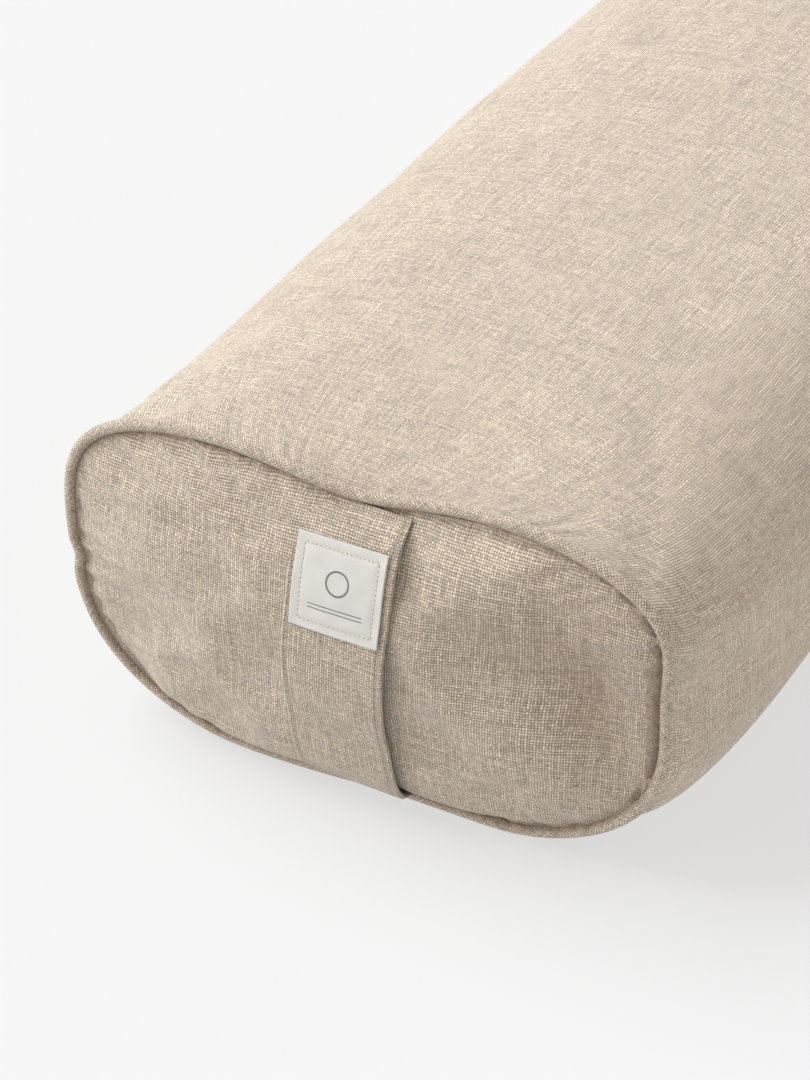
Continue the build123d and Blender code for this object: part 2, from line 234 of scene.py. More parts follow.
def make_mesh(name, verts, faces, uv=None, smooth=True):
    """Object from arrays; faces is an array of quads or a list of polygons."""
    mesh = bpy.data.meshes.new(name)
    mesh.from_pydata(np.asarray(verts).reshape(-1, 3).tolist(), [], [list(map(int, f)) for f in faces])
    if uv is not None:
        layer = mesh.uv_layers.new(name="cloth")
        layer.data.foreach_set("uv", np.asarray(uv, dtype=np.float32).ravel())
    mesh.polygons.foreach_set("use_smooth", [smooth] * len(mesh.polygons))
    mesh.update()
    obj = bpy.data.objects.new(name, mesh)
    bpy.context.collection.objects.link(obj)
    return obj


def mark_painted_shade(obj, values):
    """Store how much painted shade each vertex gets, 0 to 1: darkening painted into the cloth colour in seams,
    folds, dents and under the handle.
    """
    layer = obj.data.attributes.new("painted_shade", "FLOAT", "POINT")
    layer.data.foreach_set("value", np.asarray(values, dtype=np.float32).ravel())


def recalc(obj):
    """Make all faces look outwards."""
    bm = bmesh.new()
    bm.from_mesh(obj.data)
    bmesh.ops.recalc_face_normals(bm, faces=bm.faces)
    bm.to_mesh(obj.data)
    bm.free()


def recalc_out(obj, direction):
    """Flip a sheet whose faces look away from this direction."""
    total = sum((p.normal * p.area for p in obj.data.polygons), Vector())
    if total.dot(direction) < 0:
        obj.data.flip_normals()


def radial_out(obj):
    """Make a tube's faces look away from its axis."""
    score = sum(p.normal.dot(Vector((p.center.x, 0, p.center.z - SEAM_MIDDLE))) * p.area
                for p in obj.data.polygons)
    if score < 0:
        obj.data.flip_normals()


def apply_modifiers(obj):
    """Turn the modified shape into the object's own mesh."""
    depsgraph = bpy.context.evaluated_depsgraph_get()
    mesh = bpy.data.meshes.new_from_object(obj.evaluated_get(depsgraph), preserve_all_data_layers=True,
                                           depsgraph=depsgraph)
    obj.modifiers.clear()
    obj.data = mesh


def thicken(obj, thickness):
    """Give an open sheet its cloth thickness and closed edges."""
    solid = obj.modifiers.new("cloth", "SOLIDIFY")
    solid.thickness = thickness
    solid.offset = -1.0
    solid.use_rim = True
    apply_modifiers(obj)


# ---------------------------------------------------------------- cloth simulation
SETTLE = dict(quality=6, mass=0.25, tension_stiffness=25, compression_stiffness=25, shear_stiffness=12,
              bending_stiffness=0.4, air_damping=2, pin_stiffness=5, shrink_min=0.0, shrink_max=-0.09,
              use_pressure=True)


def blurred(field, widths):
    """Grid of vectors smoothed along its rows and columns; widths are in grid steps."""
    out = field
    for axis, width in enumerate(widths):
        reach = np.arange(-3 * width, 3 * width + 1)
        weight = np.exp(-0.5 * (reach / width) ** 2)
        weight /= weight.sum()
        pad = [(0, 0)] * field.ndim
        pad[axis] = (3 * width, 3 * width)
        wide = np.pad(out, pad, mode="edge")
        size = field.shape[axis]
        out = sum(w * np.take(wide, range(k, k + size), axis=axis) for k, w in enumerate(weight))
    return out


def stretched(field, rows, columns):
    """Coarse grid of vectors spread smoothly over a finer grid."""
    for axis, size in ((0, rows), (1, columns)):
        at = np.linspace(0, field.shape[axis] - 1, size)
        low = np.minimum(at.astype(int), field.shape[axis] - 2)
        share = (at - low).reshape([-1 if k == axis else 1 for k in range(3)])
        four = [np.take(field, np.clip(low + k, 0, field.shape[axis] - 1), axis=axis) for k in (-1, 0, 1, 2)]
        bend = 0.5 * (four[2] - four[0]), 0.5 * (four[3] - four[1])
        gap = four[2] - four[1]
        field = (four[1] + bend[0] * share + (3 * gap - 2 * bend[0] - bend[1]) * share ** 2
                 + (bend[0] + bend[1] - 2 * gap) * share ** 3)
    return field


def settle_cloth(fine, held, slack, pressure, keep, widths):
    """Let a sheet with a little spare cloth wrinkle between its held edges; returns its new points.

    held, slack and keep are 0 to 1 on the grid. It runs on every second grid line. Only the wrinkles are kept:
    the slow swelling, wider than the given grid steps, is taken out again.
    """
    pick = [np.linspace(0, size - 1, size // 2 + 1).round().astype(int) for size in fine.shape[:2]]
    points, held, slack = (field[pick[0]][:, pick[1]] for field in (fine, held, slack))
    shape = points.shape
    obj = make_mesh("settling", points, grid_faces(*shape[:2]))
    pin = obj.vertex_groups.new(name="pin")
    spare = obj.vertex_groups.new(name="spare")
    for index, (a, b) in enumerate(zip(held.ravel(), slack.ravel())):
        pin.add([index], float(a), "REPLACE")
        spare.add([index], float(b), "REPLACE")
    cloth = obj.modifiers.new("settle", "CLOTH")
    for key, value in SETTLE.items():
        setattr(cloth.settings, key, value)
    cloth.settings.vertex_group_mass = "pin"
    cloth.settings.vertex_group_shrink = "spare"
    cloth.settings.uniform_pressure_force = pressure
    cloth.settings.effector_weights.gravity = 0
    cloth.collision_settings.use_collision = False
    cloth.collision_settings.use_self_collision = False
    cloth.point_cache.frame_start = 1
    cloth.point_cache.frame_end = SETTLE_FRAMES
    scene = bpy.context.scene
    for frame_number in range(1, SETTLE_FRAMES + 1):
        scene.frame_set(frame_number)
    depsgraph = bpy.context.evaluated_depsgraph_get()
    mesh = obj.evaluated_get(depsgraph).to_mesh()
    moved = np.empty(points.size)
    mesh.vertices.foreach_get("co", moved)
    scene.frame_set(1)
    bpy.data.objects.remove(obj)
    shift = moved.reshape(shape) - points
    shift -= blurred(shift, widths)
    size = np.linalg.norm(shift, axis=-1)[..., None]
    shift *= SETTLE_CAP * np.tanh(size / SETTLE_CAP) / np.maximum(size, 1e-9)
    return fine + stretched(shift, *fine.shape[:2]) * keep[..., None]


# ---------------------------------------------------------------- long panel
# distances from the front seam of the panel's rows of points, closer together by both seams
half = [0.0]
while half[-1] < SEAM_Y:
    half.append(half[-1] + ROW_STEP + ROW_GROWTH * (1 - np.exp(-half[-1] / ROW_REACH)))
half = np.array(half) * SEAM_Y / half[-1]
stations = np.concatenate([half, 2 * SEAM_Y - half[-2::-1]])


def gap_at(y):
    """Half the opening between the folded edges at the zip."""
    closed = eased((np.abs(y) - ZIP_OPEN) / (ZIP_CLOSE - ZIP_OPEN))
    return ZIP_HALF_GAP * (1 - closed) + ZIP_SHUT_GAP * closed


def from_seam(s):
    """Distance to the nearer end seam at a length s from the front seam."""
    return np.minimum(s, 2 * SEAM_Y - s)


def from_zip(u):
    """Distance round the panel from the nearer edge of the zip opening."""
    return np.minimum(u - u[:, :1], u[:, -1:] - u)


def panel_point(t, s, ease=lambda share: share):
    """The long panel at angle t and length s from the front seam; its front half blends into its rear half."""
    front, normal = body_point(t, s, -1)
    rear, _ = body_point(t, 2 * SEAM_Y - s, 1)
    share = ease(np.clip((s - BLEND_START) / BLEND_LENGTH, 0, 1))[..., None]
    return front * (1 - share) + rear * share, normal


def zip_line():
    """Length round the middle section at which each station passes the height of the zip."""
    t = np.linspace(-0.6, 0.9, 300)
    found = []
    for s in stations:
        point, _ = body_point(t, np.full(len(t), from_seam(s)), -1 if s < SEAM_Y else 1)
        found.append(np.interp(ZIP_Z, point[:, 2], t))
    found = np.array(found)
    return np.interp(np.mod(found, 2 * pi), dense_t, dense_u) - np.where(found < 0, BODY_ROUND, 0)


def body_grid():
    """The long panel's main strip: points, normals, lengths u round and s along it, and angles."""
    gap = gap_at(stations - SEAM_Y)[:, None]
    u = zip_line()[:, None] + gap + (BODY_ROUND - 2 * gap) * np.linspace(0, 1, BODY_COLUMNS + 1)[None, :]
    t = np.interp(np.mod(u, BODY_ROUND), dense_u, dense_t)
    s = np.broadcast_to(stations[:, None], t.shape)
    points, normal = panel_point(t, s, eased)
    return points, normal, u, s, t


def body_relief(points, normal, u, s, t):
    """Gathers beside the seams and soft waves of the long panel."""
    near = from_seam(s)
    gather = np.where(s < SEAM_Y, puckers(u, 0.019, 1.3), puckers(u, 0.021, 4.1))
    corner = 0.5 + 0.8 * np.abs(np.sin(2 * t)) ** 1.5
    reach = (1 - np.exp(-near / 0.005)) * np.exp(-near / 0.028)
    height = 0.0013 * gather * corner * reach
    broad = smooth_noise(points * np.array([1.0, 0.55, 1.0]), 11, 0.16)
    fine = smooth_noise(points * np.array([1.0, 0.6, 1.0]), 12, 0.055)
    settle = 1 - np.exp(-near / 0.03)
    height = height + (0.0009 * broad + 0.0003 * fine) * settle
    free = np.clip((points[..., 2] - 0.004) / 0.02, 0, 1) * np.clip(from_zip(u) / 0.03, 0, 1)
    return points + normal * (height * free)[..., None]


def folded_edge(edge, up):
    """Cloth turned in along the zip opening, one point after another; up is 1 at its upper edge."""
    inward = np.array([1.0, 0.0, 0.0])
    away = np.array([0.0, 0.0, up])
    ring = [edge - away * FOLD_RADIUS * 0.6 * sin(phi) + inward * FOLD_RADIUS * (1 - cos(phi))
            for phi in (0.35 * pi, 0.7 * pi, pi)]
    while len(ring) < FOLD_COLUMNS:
        ring.append(ring[-1] + away * FOLD_STEP)
    return np.stack(ring, 1)


def build_body():
    """The long panel, open along the zip; also returns its points before it gets its thickness."""
    points, normal, u, s, t = body_grid()
    points = body_relief(points, normal, u, s, t)
    near = from_seam(s)
    held = np.zeros(near.shape)
    held[[0, 1, -2, -1]] = 1.0
    held[:, [0, 1, -2, -1]] = 1.0
    held = np.maximum(held, np.clip(1 - points[..., 2] / 0.0015, 0, 1))
    slack = 0.12 + 0.88 * np.exp(-((near / 0.045) ** 1.5))
    keep = (np.clip(near / 0.004, 0, 1) * np.clip(points[..., 2] / 0.02, 0, 1)
            * np.clip(from_zip(u) / 0.02, 0, 1))
    points = settle_cloth(points, held, slack, 2.0, keep, (8, 6))
    edges = folded_edge(points[:, 0], 1.0), folded_edge(points[:, -1], -1.0)
    points = np.concatenate([edges[0][:, ::-1], points, edges[1]], 1)
    extra = np.array([0.0085, 0.0065, 0.0045, 0.0025, 0.0017, 0.0008])
    u = np.concatenate([u[:, :1] - extra[None, :], u, u[:, -1:] + extra[None, ::-1]], 1)
    steps = np.linalg.norm(np.diff(points, axis=0), axis=-1)
    v = np.concatenate([np.zeros((1, points.shape[1])), np.cumsum(steps, 0)])
    obj = make_mesh("cover_body", points, grid_faces(*points.shape[:2]), grid_uv(u, v))
    # painted shade in the groove beside each end seam; the folded zip edges take the same values
    shade_amount = np.exp(-((near / 0.0030) ** 1.4))
    mark_painted_shade(obj, np.concatenate([shade_amount[:, :FOLD_COLUMNS], shade_amount, shade_amount[:, :FOLD_COLUMNS]], 1))
    radial_out(obj)
    return obj, points


# ---------------------------------------------------------------- crowned ends
def end_point(t, r, side):
    """End panel surface: r is 0 at the middle and 1 at the stitch line."""
    centre, normal = seam_frame(t, side)
    rim = centre - normal * STITCH_LINE
    middle = np.array([0.0, 0.0, SEAM_MIDDLE + 0.002])
    rho = np.sin(pi / 2 * r)
    low = np.exp(-(np.sin((t + pi / 2 - 0.1) / 2) / 0.34) ** 2)
    out = CROWN * np.clip(1 - rho ** 2.05, 0, 1) ** (0.50 + 0.42 * (1 - low))
    out = out * (1 - np.exp(-((1 - rho) * CROWN_SCALE / 0.0022) ** 1.1))
    point = middle + (rim - middle) * rho[..., None]
    point[..., 1] = rim[..., 1] * rho + side * SEAM_Y * (1 - rho) + side * (out + 0.0006)
    bulge = 0.0035 * np.sin(pi * np.clip((rho - 0.6) / 0.4, 0, 1)) * np.clip(out / CROWN, 0, 1)
    return point + normal * bulge[..., None], rim


def end_grid(n):
    """Angle and radius of a square grid spread over a disc."""
    a, b = np.meshgrid(np.linspace(-1, 1, n + 1), np.linspace(-1, 1, n + 1), indexing="ij")
    x, z = a * np.sqrt(1 - b * b / 2), b * np.sqrt(1 - a * a / 2)
    r = np.clip(np.hypot(x, z), 0, 1)
    return np.arctan2(z, -x), r


# pressed-in places of the front panel: x, z, reach across and up, depth, turn
DENTS = (
    (0.116, 0.100, 0.021, 0.044, 0.0095, 0.22),
    (0.060, 0.120, 0.030, 0.012, 0.0016, -0.3),
    (-0.105, 0.128, 0.030, 0.009, 0.0014, 0.3),
    (0.080, 0.118, 0.030, 0.022, 0.0036, -0.5),
    (-0.075, 0.045, 0.035, 0.014, 0.0016, -0.5),
)
DENT_FULL_SHADE = 0.015  # depth at which a dent gets the full painted shade


def dent_depth(points):
    """Depth of the pressed-in places of the front panel."""
    x, z = points[..., 0], points[..., 2]
    total = 0.0
    for dx, dz, wide, tall, depth, turn in DENTS:
        across = (x - dx) * cos(turn) + (z - dz) * sin(turn)
        up = -(x - dx) * sin(turn) + (z - dz) * cos(turn)
        total = total + depth * np.exp(-(across / wide) ** 2 - (up / tall) ** 2)
    return total


def under_strap(x):
    """Close to 0 where the handle keeps the front panel flat, 1 elsewhere."""
    return 1 - 0.8 * np.exp(-((x - STRAP_X) / (STRAP_HALF + 0.004)) ** 6)


def end_relief(points, t, r, side):
    """Dents, gathers and soft waves of an end panel, pushed along Y."""
    height = 0.0011 * smooth_noise(points, 21 + side, 0.085) + 0.0003 * smooth_noise(points, 31 + side, 0.03)
    u = np.mod(t, 2 * pi) / (2 * pi) * SEAM_ROUND
    gather = 0.0010 * puckers(u, 0.02, 2.7 + side) * np.clip((r - 0.45) / 0.35, 0, 1)
    fade = np.clip((1 - r) / 0.12, 0, 1)
    if side < 0:
        height = height - dent_depth(points)
        fade = fade * under_strap(points[..., 0])
    points = points.copy()
    points[..., 1] += side * (height + gather) * fade
    return points


def build_end(name, side):
    """One crowned end as a thin sheet, with wrinkles, painted shade along its rim and, on the front, painted
    shade in its dents.
    """
    t, r = end_grid(END_GRID)
    points, rim = end_point(t, r, side)
    points = end_relief(points, t, r, side)
    held = np.clip((r - 0.985) / 0.01, 0, 1)
    slack = 0.25 + 0.75 * np.clip((r - 0.3) / 0.6, 0, 1)
    keep = np.clip((1 - r) / 0.03, 0, 1)
    if side < 0:
        keep = keep * under_strap(points[..., 0])
    points = settle_cloth(points, held, slack, 1.5, keep, (6, 6))
    middle = np.array([0.0, 0.0, SEAM_MIDDLE])
    flat = (rim - middle) * (1.05 * np.sin(pi / 2 * r))[..., None]
    faces = grid_faces(END_GRID + 1, END_GRID + 1)
    obj = make_mesh(name, points, faces, grid_uv(flat[..., 0] + 0.4, flat[..., 2] + 0.4))
    rho = np.sin(pi / 2 * r)
    # painted shade along the rim, next to the piping
    shade_amount = np.exp(-(((1 - rho) * CROWN_SCALE / 0.0026) ** 1.4))
    if side < 0:
        # painted shade in the dents: deeper dents get darker
        shade_amount = shade_amount + dent_depth(points) / DENT_FULL_SHADE
    mark_painted_shade(obj, np.clip(shade_amount, 0, 1))
    recalc_out(obj, Vector((0, side, 0)))
    return obj


# ---------------------------------------------------------------- tubes and stitches
def ring_tube(name, side, profiles, count=420):
    """Closed rings that follow the end seam; each profile is a closed list of (out, along Y) offsets."""
    t = np.linspace(0, 2 * pi, count, endpoint=False)
    centre, normal = seam_frame(t, side)
    length = length_along(np.stack([centre[:, 0], centre[:, 2]], -1)[list(range(count)) + [0]])
    verts, faces, uvs = [], [], []
    start = 0
    for profile in profiles:
        profile = np.array(profile)
        n = len(profile)
        ring = centre[:, None] + normal[:, None] * profile[None, :, :1]
        ring = ring + np.array([0.0, 1.0, 0.0]) * (-side * profile[None, :, 1:])
        verts.append(ring.reshape(-1, 3))
        around = length_along(np.concatenate([profile, profile[:1]]))
        for i in range(count):
            here, beyond = start + i * n, start + (i + 1) % count * n
            for j in range(n):
                k = (j + 1) % n
                faces.append((here + j, here + k, beyond + k, beyond + j))
                uvs += [(length[i], around[j]), (length[i], around[j + 1]),
                        (length[i + 1], around[j + 1]), (length[i + 1], around[j])]
        start += count * n
    obj = make_mesh(name, np.concatenate(verts), faces, uvs)
    # painted shade on the piping's inward half towards the seam, and full painted shade on the inner rings and
    # the allowance
    tube = np.clip(-np.array(profiles[0])[:, 0] / PIPING_RADIUS - 0.15, 0, 1) ** 0.8
    shade_amount = [np.tile(tube, count)] + [np.ones(count * len(p)) for p in profiles[1:]]
    mark_painted_shade(obj, np.concatenate(shade_amount))
    recalc(obj)
    return obj


def circle(radius, sides):
    """Round profile for ring_tube."""
    return [(radius * cos(2 * pi * k / sides), radius * sin(2 * pi * k / sides)) for k in range(sides)]


def stitch_rows(name, rows, radius):
    """Many small thread stitches, thicker in the middle: rows is a list of (start, end, normal) arrays."""
    verts, faces = [], []
    sides, rings = 6, 5
    for start, end, up in rows:
        start, end, up = Vector(start), Vector(end), Vector(up).normalized()
        along = end - start
        side = along.normalized().cross(up)
        base = len(verts)
        for k in range(rings):
            share = k / (rings - 1)
            swell = sin(pi * (0.12 + 0.76 * share))
            middle = start + along * share + up * (radius * (1.5 * sin(pi * share) - 0.35))
            for q in range(sides):
                angle = 2 * pi * q / sides
                verts.append(middle + (side * cos(angle) + up * sin(angle)) * radius * (0.45 + 0.6 * swell))
        for k in range(rings - 1):
            for q in range(sides):
                a, b = base + k * sides + q, base + k * sides + (q + 1) % sides
                faces.append((a, b, b + sides, a + sides))
        faces.append(tuple(base + q for q in range(sides))[::-1])
        faces.append(tuple(base + (rings - 1) * sides + q for q in range(sides)))
    obj = make_mesh(name, [tuple(v) for v in verts], faces)
    recalc(obj)
    return obj


# ---------------------------------------------------------------- carry handle
STRAP_HALF = 0.027
STRAP_TUCK = 0.0030  # each end is caught in the seam by this much
STRAP_BOW = 0.0278  # how far its middle stands out from the line between its ends
STRAP_THICK = 0.0026
STRAP_EDGE = 0.0012  # rounding of its folded edges
STRAP_SEWN = 0.0030  # topstitching this far from its edges
STRAP_CLEAR = 0.0004  # least distance from the panel behind it
STRAP_X = 0.0010
STRAP_SAMPLES = 150
STITCH, STITCH_PITCH = 0.0026, 0.0035  # length and spacing of the strap's topstitches


def strap_path():
    """Inner face of the handle: y, z and outward normals from the top seam to the bottom."""
    angle = np.linspace(pi / 2, -pi / 2, STRAP_SAMPLES + 1)
    up = np.sin(angle)
    ends, _ = seam_frame(np.array([pi / 2, 3 * pi / 2]), -1)
    share = 0.5 - 0.5 * up
    z = ends[0, 2] - STRAP_TUCK + share * (ends[1, 2] - ends[0, 2] + 2 * STRAP_TUCK)
    y = ends[0, 1] - 0.0012 + share * (ends[1, 1] - ends[0, 1]) - STRAP_BOW * np.sin(pi * share) ** 0.93
    panel, _ = end_point(np.where(up > 0, pi / 2, 3 * pi / 2), np.abs(np.linspace(1, -1, len(up))), -1)
    y = np.minimum(y, np.interp(z, panel[::-1, 2], panel[::-1, 1]) - STRAP_CLEAR)
    path = np.stack([y, z], -1)
    length = length_along(path)
    even = np.linspace(0, length[-1], STRAP_SAMPLES + 1)
    path = np.stack([np.interp(even, length, path[:, k]) for k in (0, 1)], -1)
    along = unit(np.gradient(path, axis=0))
    normal = np.stack([along[:, 1], -along[:, 0]], -1)
    return even, path, normal


strap_length, strap_line, strap_normal = strap_path()


def strap_surface(x, length, height):
    """Point on the handle at a width x, a length from its top and a height above its inner face."""
    y = np.interp(length, strap_length, strap_line[:, 0])
    z = np.interp(length, strap_length, strap_line[:, 1])
    ny = np.interp(length, strap_length, strap_normal[:, 0])
    nz = np.interp(length, strap_length, strap_normal[:, 1])
    share = length / strap_length[-1]
    middle = np.sin(pi * np.clip(share, 0, 1)) ** 0.7
    bow = -0.0009 * (x / STRAP_HALF) ** 2 * middle
    lift = 0.0007 * middle * np.clip(x / STRAP_HALF, 0, 1) ** 2
    wave = 0.0004 * np.sin(length * 62.0 + x * 40.0) + 0.00025 * np.sin(length * 131.0 - x * 85.0 + 1.0)
    height = height + bow + lift + wave * middle
    sway = 0.0008 * np.sin(length * 24.0 + 0.6)
    narrow = 1 - 0.02 * middle
    return np.stack([STRAP_X + x * narrow + sway, y + ny * height, z + nz * height], -1)


def strap_top(x):
    """Height of the outer cloth across the handle: flat, and dimpled on the stitch lines."""
    return STRAP_THICK - 0.00055 * np.exp(-((STRAP_HALF - np.abs(x) - STRAP_SEWN) / 0.0007) ** 2)


def build_strap():
    """The folded strip with rounded edges, flatter where its ends are sewn in."""
    flat_half = STRAP_HALF - STRAP_EDGE
    by_edge = np.linspace(flat_half, STRAP_HALF - 0.005, 7)
    x = np.concatenate([-by_edge, np.linspace(-0.0215, 0.0215, 24), by_edge[::-1]])
    top = [(v, strap_top(v)) for v in x]
    right = [(flat_half + STRAP_EDGE * cos(a), STRAP_THICK / 2 * (1 + sin(a)))
             for a in np.linspace(pi / 2, -pi / 2, 7)[1:-1]]
    bottom = [(v, 0.0) for v in x[::-2]]
    left = [(-v, h) for v, h in right[::-1]]
    section = np.array(top + right + bottom + left)
    n = len(section)
    around = length_along(np.concatenate([section, section[:1]]))
    rows = len(strap_length)
    grid_x = np.broadcast_to(section[None, :, 0], (rows, n))
    grid_h = np.broadcast_to(section[None, :, 1], (rows, n))
    grid_l = np.broadcast_to(strap_length[:, None], (rows, n))
    pinch = np.clip(np.minimum(grid_l, strap_length[-1] - grid_l) / 0.010, 0.35, 1)
    points = strap_surface(grid_x, grid_l, grid_h * pinch)
    u = np.broadcast_to(around[None, :-1], (rows, n))
    uv = grid_uv(u, grid_l, wrap_u=np.full(rows, around[-1]))
    uv = np.concatenate([uv, np.zeros((2 * n, 2))])
    obj = make_mesh("handle_strap", points, capped_faces(rows, n), uv)
    # painted shade: light in the stitch dimples of the outer face, strong on the underside and the lower half
    # of the rounded edges
    sewn = np.exp(-((STRAP_HALF - np.abs(grid_x) - STRAP_SEWN) / 0.0008) ** 2)
    mark_painted_shade(obj, np.where(grid_h > STRAP_THICK / 2, 0.55 * sewn, 0.9))
    recalc(obj)
    return obj


def strap_stitches():
    """One row of topstitching along each edge of the handle."""
    rows = []
    for side in (-1, 1):
        x = side * (STRAP_HALF - STRAP_SEWN)
        height = strap_top(x) + 0.00005
        at = 0.006
        while at < strap_length[-1] - 0.008:
            a, b = strap_surface(x, at, height), strap_surface(x, at + STITCH, height)
            rows.append((a, b, strap_surface(x, at + STITCH / 2, 0.01) - (a + b) / 2))
            at += STITCH_PITCH
    return stitch_rows("handle_stitches", rows, 0.00028)


# ---------------------------------------------------------------- label
LABEL_HALF = 0.0231  # half its width
LABEL_TALL = 0.0219  # half its height
LABEL_X = 0.0001
LABEL_START = 0.0185  # its upper edge, as a length along the strap
LABEL_LIFT = 0.0008
LABEL_TURN = radians(1.4)
LABEL_SEWN = 0.0040
LABEL_THICK = 0.00055
LABEL_CELLS = 72


def label_point(a, b, height=None):
    """Point of the label: a across and b down from its middle, on its own cloth unless a height is given."""
    if height is None:
        height = LABEL_LIFT + label_height(a, b)
    x = a * cos(LABEL_TURN) + b * sin(LABEL_TURN)
    down = -a * sin(LABEL_TURN) + b * cos(LABEL_TURN)
    return strap_surface(LABEL_X + x, LABEL_START + LABEL_TALL + down, STRAP_THICK + height)


def label_height(a, b):
    """Soft quilting of the label inside its stitch line, and a slightly lifted edge."""
    edge = np.minimum(LABEL_HALF - np.abs(a), LABEL_TALL - np.abs(b))
    stitched = -0.0003 * np.exp(-((edge - LABEL_SEWN) / 0.0011) ** 2)
    rim = 0.0003 * np.exp(-edge / 0.0012)
    return stitched + rim + 0.00012 * np.sin(a * 420 + 1.0) * np.sin(b * 330)


def build_label():
    """The label as a thin sheet that follows the strap."""
    steps = np.linspace(-1, 1, LABEL_CELLS + 1)
    a, b = np.meshgrid(LABEL_HALF * steps, LABEL_TALL * steps, indexing="ij")
    a = a * (1 + 0.006 * np.sin(b * 120))
    faces = grid_faces(LABEL_CELLS + 1, LABEL_CELLS + 1)
    obj = make_mesh("label_cloth", label_point(a, b), faces, grid_uv(a, -b))
    recalc_out(obj, Vector((0, -1, 0.3)))
    thicken(obj, LABEL_THICK)
    return obj


def label_stitches():
    """A dashed stitch line inside the label's four edges."""
    rows = []
    wide, tall = LABEL_HALF - LABEL_SEWN, LABEL_TALL - LABEL_SEWN
    for side in (-1, 1):
        for run, line, count, horizontal in ((tall, wide, 16, False), (wide, tall, 17, True)):
            pitch = 2 * run / count
            for k in range(count):
                along = -run + (k + 0.5 + np.array([-0.29, 0.29])) * pitch
                pair = [(at, side * line) if horizontal else (side * line, at) for at in along]
                start, end = (label_point(*spot) for spot in pair)
                rows.append((start, end, label_point(*pair[0], 0.01) - start))
    return stitch_rows("label_stitches", rows, 0.00030)


# ---------------------------------------------------------------- zip
ZIP_SEWN = 0.213  # half the length of the topstitching
ZIP_STITCH, ZIP_STITCH_PITCH = 0.0027, 0.0037
COIL_PITCH = 0.00135
COIL_WIRE = 0.00036
COIL_REACH = 0.001548  # half the width of a loop
COIL_HEIGHT = 0.00072  # half its thickness
COIL_STEPS = 14


def coil(name, node, direction):
    """One row of the zip: a nylon coil whose loops reach over the middle."""
    tape_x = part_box("zip_tape_upper")[0][0]
    low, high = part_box(node)
    sides = 5
    steps = int((high[1] - low[1]) / COIL_PITCH) * COIL_STEPS
    k = np.arange(steps + 1)
    phase = 2 * pi * k / COIL_STEPS
    y = low[1] + (high[1] - low[1]) * k / steps + (0.5 * COIL_PITCH if direction < 0 else 0.0)
    squash = np.sign(np.cos(phase)) * np.abs(np.cos(phase)) ** 0.7
    z = ZIP_Z + direction * (0.00125 - squash * COIL_REACH)
    x = tape_x - 0.00080 - COIL_HEIGHT * np.sin(phase)
    line = np.stack([x, y, z], -1)
    along = unit(np.gradient(line, axis=0))
    side = unit(np.cross(along, np.array([0.0, 1.0, 0.0])))
    up = np.cross(side, along)
    ring = np.linspace(0, 2 * pi, sides, endpoint=False)
    cos_ring, sin_ring = np.cos(ring)[None, :, None], np.sin(ring)[None, :, None]
    points = line[:, None] + COIL_WIRE * (cos_ring * side[:, None] + sin_ring * up[:, None])
    obj = make_mesh(name, points, capped_faces(steps + 1, sides))
    recalc(obj)
    return obj


def zip_stitches(cover):
    """One row of topstitching beside each folded edge; cover is the grid of the long panel's points."""
    rows = []
    for direction, column in ((1, FOLD_COLUMNS + 1), (-1, FOLD_COLUMNS + BODY_COLUMNS - 1)):
        line = 0.5 * (cover[:, column] + cover[:, column + direction])
        y = -ZIP_SEWN
        while y < ZIP_SEWN - 0.0025:
            ends = [np.array([np.interp(at, cover[:, column, 1], line[:, k]) for k in range(3)])
                    + np.array([-0.0001, 0, 0]) for at in (y, y + ZIP_STITCH)]
            rows.append((*ends, (-1.0, 0.0, 0.0)))
            y += ZIP_STITCH_PITCH
    return stitch_rows("zip_stitches", rows, 0.00024)


# ---------------------------------------------------------------- hidden soft pieces
INNER_GRID = 70
INNER_START = 0.014  # the inner tubes end this far from the seams
BAG_INSET = 0.0082  # deeper than the deepest wrinkle of the cover
FILL_INSET = 0.0102


def shell_tube(inset, columns=150):
    """Plain inner tube that follows the long panel at a distance inside it: points, angles and lengths."""
    s = np.linspace(INNER_START, 2 * SEAM_Y - INNER_START, 110)
    t = np.linspace(0, 2 * pi, columns, endpoint=False)
    tt, ss = np.meshgrid(t, s)
    point, normal = panel_point(tt, ss)
    radial = point - np.array([0.0, 0.0, SEAM_MIDDLE + 0.004])
    radial[..., 1] = 0
    inwards = -(normal * 0.7 + unit(radial) * 0.3)
    quilt = 0.0006 * smooth_noise(point, 77, 0.05)
    return point + inwards * (inset + quilt + 0.0006)[..., None], tt, ss


def inner_cap(t, r, side, extra):
    """Domed inner end that stays inside the outer panel and its dents."""
    points, _ = end_point(t, r, side)
    points = end_relief(points, t, r, side)
    narrow = 1 - (0.070 + 8 * extra) * np.array([1.0, 0.0, 1.0])
    middle = np.array([0.0, 0.0, SEAM_MIDDLE])
    points = middle + (points - middle) * np.where(np.array([1, 0, 1]), narrow, 1.0)
    points[..., 1] -= side * (0.0045 + extra + 0.0095 * r ** 3)
    return points


def inner_pieces():
    """The inner bag: its tube and two ends, each with the CAD node that it stands for."""
    made = []
    points, tt, ss = shell_tube(BAG_INSET)
    rows, columns = tt.shape
    inner = make_mesh("inner_bag_body", points, grid_faces(rows, columns, wrap=True),
                      grid_uv(tt * 0.14, ss, wrap_u=np.full(rows, 2 * pi * 0.14)))
    radial_out(inner)
    thicken(inner, INNER_CLOTH)
    made.append((inner, "inner_case_body"))
    t, r = end_grid(INNER_GRID)
    faces = grid_faces(INNER_GRID + 1, INNER_GRID + 1)
    for side, end in ((-1, "front"), (1, "rear")):
        cap = inner_cap(t, r, side, 0.0)
        piece = make_mesh(f"inner_bag_{end}_end", cap, faces, grid_uv(cap[..., 0], cap[..., 2]))
        recalc_out(piece, Vector((0, side, 0)))
        thicken(piece, INNER_CLOTH)
        made.append((piece, f"inner_case_{end}_end"))
    return made


